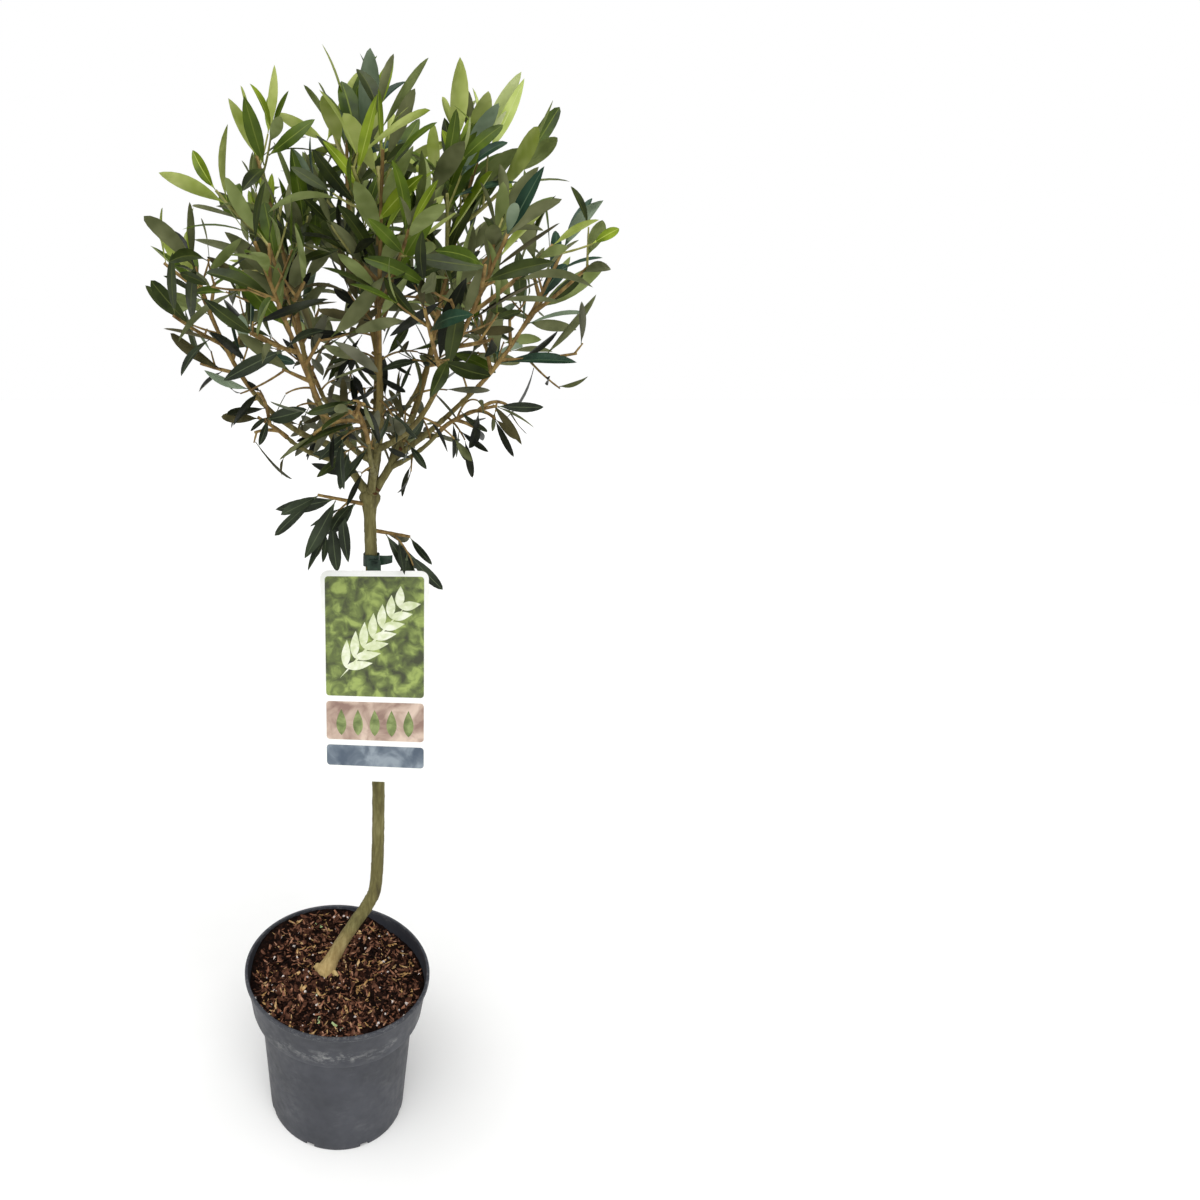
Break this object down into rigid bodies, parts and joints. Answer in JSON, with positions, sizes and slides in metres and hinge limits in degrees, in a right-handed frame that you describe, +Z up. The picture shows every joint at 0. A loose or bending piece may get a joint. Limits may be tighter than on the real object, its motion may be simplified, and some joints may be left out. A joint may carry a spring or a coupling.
{
  "type": "potted olive tree",
  "caption": "Young standard olive tree: an open round crown of narrow leaves on a slim bent trunk, with a hanging plant label, growing in a tapered round nursery pot.",
  "frame": {"origin": "middle of the pot's flat underside", "axes": "+Z up, +X to the right and +Y to the back as seen from the front, where the label hangs"},
  "size_m": [0.3676, 0.352, 0.9895],
  "materials": {
    "pot": "matte, slightly scuffed",
    "potting_mix": "loose chips and fibres",
    "bark": "thin grey-brown bark",
    "leaves": "satin above, grey and matte below",
    "label": "printed card",
    "tie": "soft strap"
  },
  "bodies": {
    "root": {"pot": "pot", "potting_mix": "potting_mix", "trunk": "bark", "bough_left": "bark", "bough_right": "bark", "bough_front": "bark", "bough_back": "bark", "bough_leader": "bark", "bough_left_outer": "bark", "bough_left_low": "bark", "bough_right_outer": "bark", "bough_right_low": "bark", "bough_front_left": "bark", "bough_front_right": "bark", "bough_front_low": "bark", "bough_back_left": "bark", "bough_back_right": "bark", "bough_back_low": "bark", "leaves_top": "leaves", "leaves_left": "leaves", "leaves_right": "leaves", "leaves_front": "leaves", "leaves_back": "leaves", "leaves_left_outer": "leaves", "leaves_right_outer": "leaves", "leaves_front_left": "leaves", "leaves_front_right": "leaves", "leaves_back_left": "leaves", "leaves_back_right": "leaves", "leaves_left_low": "leaves", "leaves_right_low": "leaves", "leaves_front_low": "leaves", "leaves_back_low": "leaves", "sprig_left": "leaves", "sprig_right": "leaves", "plant_label": "label", "label_tie": "tie"}
  },
  "joints": []
}
